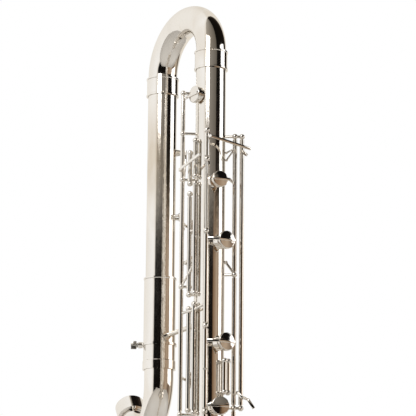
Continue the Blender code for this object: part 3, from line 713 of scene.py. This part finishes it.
def bow(name, y0, y1, z, rise, spigot):
    """Half ring between two legs, with a straight spigot at each end. Rise is negative below."""
    middle, half = (y0 + y1) / 2, abs(y1 - y0) / 2
    points = [(0, middle + half, z - math.copysign(spigot, rise))]
    for i in range(BOW_STEPS + 1):
        turn = math.pi * i / BOW_STEPS
        points.append((0, middle + half * math.cos(turn), z + rise * math.sin(turn)))
    points.append((0, middle - half, z - math.copysign(spigot, rise)))
    piece(name, SILVER, [swept(points, [TUBE_R] * len(points))])


def make_body():
    """Body leg in two lengths, the bows at its ends and the ferrules over their joints."""
    body("upper_body", BODY_SPLIT_Z + GAP / 2, HIGH_BOW_Z - BOW_SPIGOT - GAP)
    body("lower_body", LOW_BOW_Z + BOW_SPIGOT + GAP, BODY_SPLIT_Z - GAP / 2)
    ferrule("body_ferrule", BODY_Y, BODY_SPLIT_Z, TUBE_R + GAP)
    bow("top_bow", BODY_Y, NECK_Y, HIGH_BOW_Z, HIGH_BOW_RISE, BOW_SPIGOT)
    for name, axis_y in (("bow_ferrule_body", BODY_Y), ("bow_ferrule_neck", NECK_Y)):
        ferrule(name, axis_y, HIGH_BOW_Z - BOW_SPIGOT, TUBE_R + GAP)
    bow("bottom_bow", BELL_Y, BODY_Y, LOW_BOW_Z, -BELL_SPACING / 2, BOW_SPIGOT)
    ferrule("low_ferrule", BODY_Y, LOW_BOW_Z + BOW_SPIGOT, TUBE_R + GAP)


def register_places():
    """Outward and sideways directions of the register key, its vent's foot and its pivot."""
    way = outward(REGISTER_ANGLE)
    side = Vector((-way.y, way.x, 0))
    pivot = Vector((0, NECK_Y, REGISTER_PIVOT_Z)) + way * REGISTER_PIVOT_OUT
    return way, side, Vector((0, NECK_Y, VENT_Z)), pivot


def make_neck_leg():
    """Neck leg with the vent and the pivot of the register key."""
    low = SLEEVE_TOP_Z - SLEEVE_OVERLAP
    high = HIGH_BOW_Z - BOW_SPIGOT - GAP
    way, side, vent, pivot = register_places()
    parts = [swept([(0, NECK_Y, low), (0, NECK_Y, high)], [TUBE_R, TUBE_R]),
             cone(vent + way * VENT_LOW, vent + way * VENT_HIGH, VENT_FOOT_R, VENT_TIP_R,
                  sides=CUP_SIDES)]
    foot_out, foot_side = REGISTER_POST_FOOT
    span = side * REGISTER_POST_SPAN
    for sign in (-1, 1):
        foot = pivot + way * (foot_out - REGISTER_PIVOT_OUT) + side * sign * foot_side
        parts += [cone(foot, pivot + span * sign, POST_STEM_R, sides=ROD_SIDES),
                  ball(pivot + span * sign, POST_BALL_R)]
    parts.append(cone(pivot - span, pivot + span, ROD_R, sides=ROD_SIDES))
    piece("neck_leg", SILVER, parts)


def make_register_key():
    """Long flat lever with a small cup over the vent and a thumb plate below the pivot."""
    way, side, vent, pivot = register_places()
    up = Vector((0, 0, 1))
    rim = vent + way * (VENT_HIGH + GAP + PAD_PROUD)
    top = rim + way * (CUP_DEPTH + ARM_THICKNESS / 2 - ARM_SINK)
    crook = top - up * REGISTER_CROOK_DROP
    start_out, start_up = REGISTER_LEVER_WAY
    start = pivot + (way * start_out + up * start_up).normalized() * ARM_ROOT
    tail_out, tail_up = REGISTER_TAIL
    tail = pivot + way * tail_out + up * tail_up
    lever_width, arm_width, tail_width = REGISTER_WIDTHS
    span = side * REGISTER_TUBE_SPAN
    parts = [cone(pivot - span, pivot + span, HINGE_R, sides=HINGE_SIDES),
             bar(start, crook + up * REGISTER_LAP, lever_width, ARM_THICKNESS, up=side),
             bar(crook, top + up * REGISTER_CUP_LAP, arm_width, ARM_THICKNESS, up=side),
             bar(pivot - up * ARM_ROOT, tail, tail_width, ARM_THICKNESS, up=side),
             cup_shell(rim, way, REGISTER_CUP_R)]
    piece("register_key", SILVER, parts)
    piece("register_pad", LEATHER, [pad_shape(rim, way, REGISTER_CUP_R)])


def make_brace():
    """Round bar between the body and the tuning sleeve, with a plate at each end."""
    low = BODY_Y + TUBE_R + GAP + BRACE_CLEARANCE
    high = NECK_Y - TUBE_R - FERRULE_WALL - GAP * 2 - BRACE_CLEARANCE
    thick = BRACE_PLATE_THICKNESS
    parts = [cone((0, low, BRACE_Z), (0, high, BRACE_Z), BRACE_R, sides=HINGE_SIDES),
             cone((0, low, BRACE_Z), (0, low + thick, BRACE_Z), BRACE_PLATE_R,
                  sides=BRACE_PLATE_SIDES),
             cone((0, high - thick, BRACE_Z), (0, high, BRACE_Z), BRACE_PLATE_R,
                  sides=BRACE_PLATE_SIDES)]
    piece("leg_brace", SILVER, parts)


def make_sleeve():
    """Tuning sleeve on the neck leg, with its clamp band and wing screw."""
    inner = TUBE_R + GAP
    outer = inner + FERRULE_WALL
    wide = outer + BEAD
    top, bottom = SLEEVE_TOP_Z, SLEEVE_BOTTOM_Z
    bead = top - SLEEVE_BEAD_LENGTH
    profile = [(inner, bottom), (wide, bottom), (wide, bottom + SLEEVE_COLLAR),
               (outer, bottom + SLEEVE_COLLAR + BEAD), (outer, bead - BEAD_FADE), (wide, bead),
               (wide, top), (inner, top)]
    place = Matrix.Translation((0, NECK_Y, 0))
    piece("tuning_sleeve", SILVER, [lathe(profile, TUBE_SIDES, place)])
    grip = outer + GAP
    low, high = CLAMP_Z - CLAMP_BAND, CLAMP_Z + CLAMP_BAND
    band = [(grip, low), (grip + CLAMP_BAND, low), (grip + CLAMP_BAND, high), (grip, high)]
    way = Vector(CLAMP_WAY)
    centre = Vector((0, NECK_Y, CLAMP_Z))
    boss_start, boss_end = [centre + way * (grip + out) for out in BOSS_ENDS]
    boss = cone(boss_start, boss_end, BOSS_R, sides=HINGE_SIDES)
    piece("tuning_clamp", SILVER, [lathe(band, TUBE_SIDES, place), boss])
    tip, end = [centre + way * (grip + out) for out in CLAMP_SCREW_ENDS]
    head_start, head_end = [centre + way * (grip + out) for out in CLAMP_HEAD_ENDS]
    parts = [cone(tip, end, CLAMP_SCREW_R, sides=ROD_SIDES),
             cone(head_start, head_end, CLAMP_HEAD_R, sides=HINGE_SIDES),
             bar(centre + way * (grip + WING_START), end, WING_WIDTH, WING_THICKNESS)]
    piece("clamp_screw", STEEL, parts)


def neck_path():
    """Points of the neck from inside the tuning sleeve round to the receiver."""
    plane = Vector((math.sin(NECK_SWING), math.cos(NECK_SWING), 0))
    start = Vector((0, NECK_Y, SLEEVE_TOP_Z - SLEEVE_OVERLAP - NECK_STRAIGHT))
    corner = Vector((0, NECK_Y, NECK_BEND_Z))
    points = [start, corner + Vector((0, 0, NECK_STRAIGHT))]
    for i in range(NECK_STEPS + 1):
        turn = NECK_TURN * i / NECK_STEPS
        points.append(corner + plane * NECK_BEND_R * (1 - math.cos(turn))
                      - Vector((0, 0, NECK_BEND_R * math.sin(turn))))
    way = plane * math.sin(NECK_TURN) - Vector((0, 0, math.cos(NECK_TURN)))
    points.append(points[-1] + way * NECK_STRAIGHT)
    return points, way


def make_neck():
    """Neck that narrows round its bend, and the receiver with its open socket."""
    points, way = neck_path()
    last = len(points) - 1
    narrowing = (NECK_END_R - TUBE_R) / (last - 2)
    radii = [TUBE_R + narrowing * max(0, i - 2) for i in range(last + 1)]
    shelf = RECEIVER_LENGTH - RECEIVER_SOCKET_DEPTH
    spigot = points[-1] + way * shelf
    piece("neck", SILVER, [swept(points + [spigot], radii + [NECK_END_R], NECK_TUBE_WALL)])
    inner = NECK_END_R + GAP
    socket = RECEIVER_SOCKET_R
    length = RECEIVER_LENGTH
    edge = length - RECEIVER_EDGE
    foot_in, foot_along = RECEIVER_FOOT
    profile = [(inner, 0), (RECEIVER_R - foot_in, 0), (RECEIVER_R, foot_along), (RECEIVER_R, edge),
               (RECEIVER_R - RECEIVER_RIM_ROUND, length), (socket + RECEIVER_MOUTH, length),
               (socket, edge), (socket, shelf + GAP), (inner, shelf + GAP)]
    piece("neck_receiver", SILVER, [lathe(profile, TUBE_SIDES, facing(points[-1], way))])


def make_bell_leg():
    """Widening leg below the bell, with its rod, its chimneys and the low keys."""
    low = LOW_BOW_Z + BOW_SPIGOT + GAP
    top_z, top_r = BELL_LEG_TOP_Z, BELL_LEG_TOP_R
    parts = [swept([(0, BELL_Y, low), (0, BELL_Y, top_z)], [TUBE_R + BELL_LEG_FOOT_EXTRA, top_r],
                   BELL_WALL)]
    for z, angle, radius, _low, _high in LOW_KEYS.values():
        parts.append(chimney(BELL_Y, z, angle, radius - CUP_EDGE, LOW_SEAT))
    for z in LOW_POSTS:
        parts += post(BELL_Y, LOW_ROD, z)
    parts.append(cone(on_leg(BELL_Y, LOW_ROD, LOW_POSTS[-1]), on_leg(BELL_Y, LOW_ROD, LOW_POSTS[0]),
                      ROD_R, sides=ROD_SIDES))
    piece("bell_leg", SILVER, parts)
    rise, touch_angle, reach = LOW_TOUCH
    for name, (z, angle, radius, key_low, key_high) in LOW_KEYS.items():
        cup_key(name, BELL_Y, LOW_ROD, key_low + HINGE_END, key_high - HINGE_END, z, angle, radius,
                LOW_SEAT, False, (z + rise, touch_angle, reach))


def make_bell():
    """Flared bell with a rolled rim, and the ferrule that joins it to its leg."""
    top_z, top_r = BELL_LEG_TOP_Z, BELL_LEG_TOP_R
    start = top_z + GAP
    flare = []
    for i in range(BELL_STEPS + 1):
        share = i / BELL_STEPS
        widening = BELL_TAPER * share + (1 - BELL_TAPER) * share ** BELL_CURVE
        flare.append((top_r + (BELL_RIM_R - top_r) * widening, start + (BELL_RIM_Z - start) * share))
    rim_r, rim_z = flare[-1]
    rim_z -= BELL_BEAD_R
    bead = [(rim_r + BELL_BEAD_R * math.sin(turn), rim_z + BELL_BEAD_R * math.cos(turn))
            for turn in map(math.radians, BELL_BEAD_TURNS)]
    inside = [(r - BELL_WALL, z) for r, z in reversed(flare)]
    profile = flare[:-1] + bead + inside
    piece("bell", SILVER, [lathe(profile, BELL_SIDES, Matrix.Translation((0, BELL_Y, 0)))])
    ferrule("bell_ferrule", BELL_Y, top_z, top_r + BELL_LIP_GAP)


def make_peg():
    """Rubber tip and rod of the floor peg."""
    inner = PEG_R + GAP
    tip = [(0, 0), (PEG_TIP_R * PEG_TIP_SOLE, 0), (PEG_TIP_R, PEG_TIP_SLOPE),
           (PEG_TIP_R, PEG_TIP_HEIGHT - PEG_TIP_SLOPE), (PEG_R + PEG_TIP_LIP, PEG_TIP_HEIGHT),
           (inner, PEG_TIP_HEIGHT), (inner, PEG_TIP_FLOOR), (0, PEG_TIP_FLOOR)]
    piece("endpin_tip", RUBBER, [lathe(tip, PEG_SIDES)])
    rod = cone((0, 0, PEG_TIP_FLOOR + GAP), (0, 0, PEG_TOP_Z), PEG_R, sides=PEG_ROD_SIDES)
    piece("endpin_rod", STEEL, [rod])


def make_peg_socket():
    """Socket and saddle under the bottom bow, and the screw that holds the peg."""
    top = LOW_BOW_Z - BELL_SPACING / 2 - TUBE_R
    saddle_z = top + SADDLE_RISE
    saddle = cone((0, -SADDLE_HALF, saddle_z), (0, SADDLE_HALF, saddle_z), SADDLE_R,
                  sides=PEG_ROD_SIDES)
    socket = cone((0, 0, PEG_SOCKET_BOTTOM_Z), (0, 0, top + PEG_SOCKET_RISE), PEG_SOCKET_R,
                  sides=PEG_SIDES)
    piece("endpin_socket", SILVER, [socket, saddle])
    screw_z = PEG_SOCKET_BOTTOM_Z + PEG_SCREW_RISE
    head_start, head_end = PEG_SCREW_HEAD
    shank = cone((PEG_R + PEG_SCREW_PLAY, 0, screw_z), (PEG_SCREW_END, 0, screw_z), PEG_SCREW_R,
                 sides=ROD_SIDES)
    head = cone((head_start, 0, screw_z), (head_end, 0, screw_z), PEG_SCREW_HEAD_R,
                sides=PEG_ROD_SIDES)
    piece("endpin_screw", STEEL, [shank, head])


def make_keys():
    """Keys of the body leg, with the ends of each hinge kept clear of its posts."""
    for name, (z, angle, radius, rod, low, high, opened, touch) in TONE_KEYS.items():
        posts = [h for part in POSTS.values() for h in part.get(rod, ())]
        low_end = low + HINGE_END if low in posts else low + GAP
        high_end = high - HINGE_END if high in posts else high - GAP
        cup_key(name, BODY_Y, RODS[rod], low_end, high_end, z, angle, radius, body_seat(name),
                opened, touch)
    for name, (line, low, high, arms) in LEVERS.items():
        lever(name, line, low + HINGE_END, high - HINGE_END, arms)


def make_extra_keywork():
    """Small rods, posts, struts and springs of the body's left and right sides."""
    parts = []
    for x, y, low, high in EXTRA_RODS:
        foot, top = Vector((x, BODY_Y + y, low)), Vector((x, BODY_Y + y, high))
        parts.append(cone(foot, top, HINGE_R, sides=HINGE_SIDES))
        for end in (foot, top):
            centre = Vector((0, BODY_Y, end.z))
            root = centre + (end - centre).normalized() * BORE_R
            parts += [cone(root, end, POST_STEM_R, sides=ROD_SIDES), ball(end, POST_BALL_R)]
    for start, end, radius in EXTRA_BARS:
        offset = Vector((0, BODY_Y, 0))
        start, end = Vector(start) + offset, Vector(end) + offset
        parts += [cone(start, end, radius, sides=ROD_SIDES), ball(start, radius * EXTRA_BALL),
                  ball(end, radius * EXTRA_BALL)]
    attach(joined("extra_keywork", SILVER, parts), "instrument")


def aim(obj, forward, up):
    """Turns a camera or light to look along forward, with up upright in its view."""
    back = -Vector(forward).normalized()
    right = Vector(up).cross(back).normalized()
    turn = Matrix((right, back.cross(right), back)).transposed().to_4x4()
    obj.matrix_world = Matrix.Translation(obj.location) @ turn


def make_camera():
    """Camera at the place the photo was taken from, as found from the bow and the rings."""
    camera = bpy.data.objects.new("camera", bpy.data.cameras.new("camera"))
    bpy.context.scene.collection.objects.link(camera)
    camera.data.sensor_width = SENSOR_MM
    camera.data.lens = SENSOR_MM * CAMERA_FOCAL_PX / PHOTO_PX
    camera.data.clip_end = CAMERA_REACH
    camera.location = CAMERA_PLACE
    level = Vector((math.sin(CAMERA_TURN), math.cos(CAMERA_TURN), 0))
    forward = level * math.cos(CAMERA_PITCH) + Vector((0, 0, math.sin(CAMERA_PITCH)))
    upright = Matrix.Rotation(-CAMERA_ROLL, 3, forward) @ Vector((0, 0, 1))
    aim(camera, forward, upright)
    bpy.context.scene.camera = camera


def make_world():
    """Studio that the plated tubes mirror as stripes, behind a white background."""
    world = bpy.data.worlds.new("studio")
    bpy.context.scene.world = world
    world.use_nodes = True
    tree = world.node_tree
    way = add(tree, "ShaderNodeTexCoord").outputs["Generated"]
    parts = add(tree, "ShaderNodeSeparateXYZ", [("Vector", way)]).outputs
    turn = add(tree, "ShaderNodeMath", [(0, parts["Y"]), (1, parts["X"])], operation="ARCTAN2")
    far_side = -math.pi / 2 - CAMERA_TURN - math.pi
    turned = add(tree, "ShaderNodeMath", [(0, turn.outputs[0]), (1, far_side)],
                 operation="SUBTRACT")
    rounds = add(tree, "ShaderNodeMath", [(0, turned.outputs[0]), (1, math.tau)],
                 operation="DIVIDE")
    share = add(tree, "ShaderNodeMath", [(0, rounds.outputs[0])], operation="FRACT").outputs[0]
    high, low = [add(tree, "ShaderNodeValToRGB", [("Fac", share)],
                     [(degrees / 360, colour) for degrees, colour in colours]).outputs["Color"]
                 for colours in (STUDIO_HIGH, STUDIO_LOW)]
    below, above = STUDIO_CHANGE
    rise = add(tree, "ShaderNodeMapRange", [("Value", parts["Z"]), ("From Min", below),
                                            ("From Max", above)]).outputs["Result"]
    studio = add(tree, "ShaderNodeMix", [("Factor", rise), (MIX_A, low), (MIX_B, high)],
                 data_type="RGBA").outputs[MIX_RESULT]
    seen = add(tree, "ShaderNodeLightPath").outputs["Is Camera Ray"]
    shown = add(tree, "ShaderNodeMix", [("Factor", seen), (MIX_A, studio), (MIX_B, WHITE)],
                data_type="RGBA").outputs[MIX_RESULT]
    tree.links.new(shown, tree.nodes["Background"].inputs["Color"])


def make_lights():
    """Two soft square lights from the camera's side."""
    for name, place, size, power in LIGHTS:
        light = bpy.data.objects.new(name, bpy.data.lights.new(name, "AREA"))
        bpy.context.scene.collection.objects.link(light)
        light.data.size = size
        light.data.energy = power
        light.location = place
        aim(light, Vector(LIGHT_AIM) - Vector(place), (0, 0, 1))


def make_floor():
    """Plain pale floor, which isn't part of the object."""
    bm = bmesh.new()
    bmesh.ops.create_grid(bm, x_segments=1, y_segments=1, size=FLOOR_HALF)
    mesh = bpy.data.meshes.new("floor")
    bm.to_mesh(mesh)
    bm.free()
    mat = bpy.data.materials.new("pale_floor")
    mat.use_nodes = True
    shader = mat.node_tree.nodes["Principled BSDF"]
    shader.inputs["Base Color"].default_value = linear(FLOOR_COLOUR)
    shader.inputs["Roughness"].default_value = FLOOR_ROUGHNESS
    mesh.materials.append(mat)
    floor = bpy.data.objects.new("floor", mesh)
    bpy.context.scene.collection.objects.link(floor)


make_body()
make_neck_leg()
make_register_key()
make_brace()
make_sleeve()
make_neck()
make_bell_leg()
make_bell()
make_peg()
make_peg_socket()
make_keys()
make_extra_keywork()
make_camera()
make_world()
make_lights()
make_floor()
bpy.context.scene.view_settings.view_transform = "Standard"
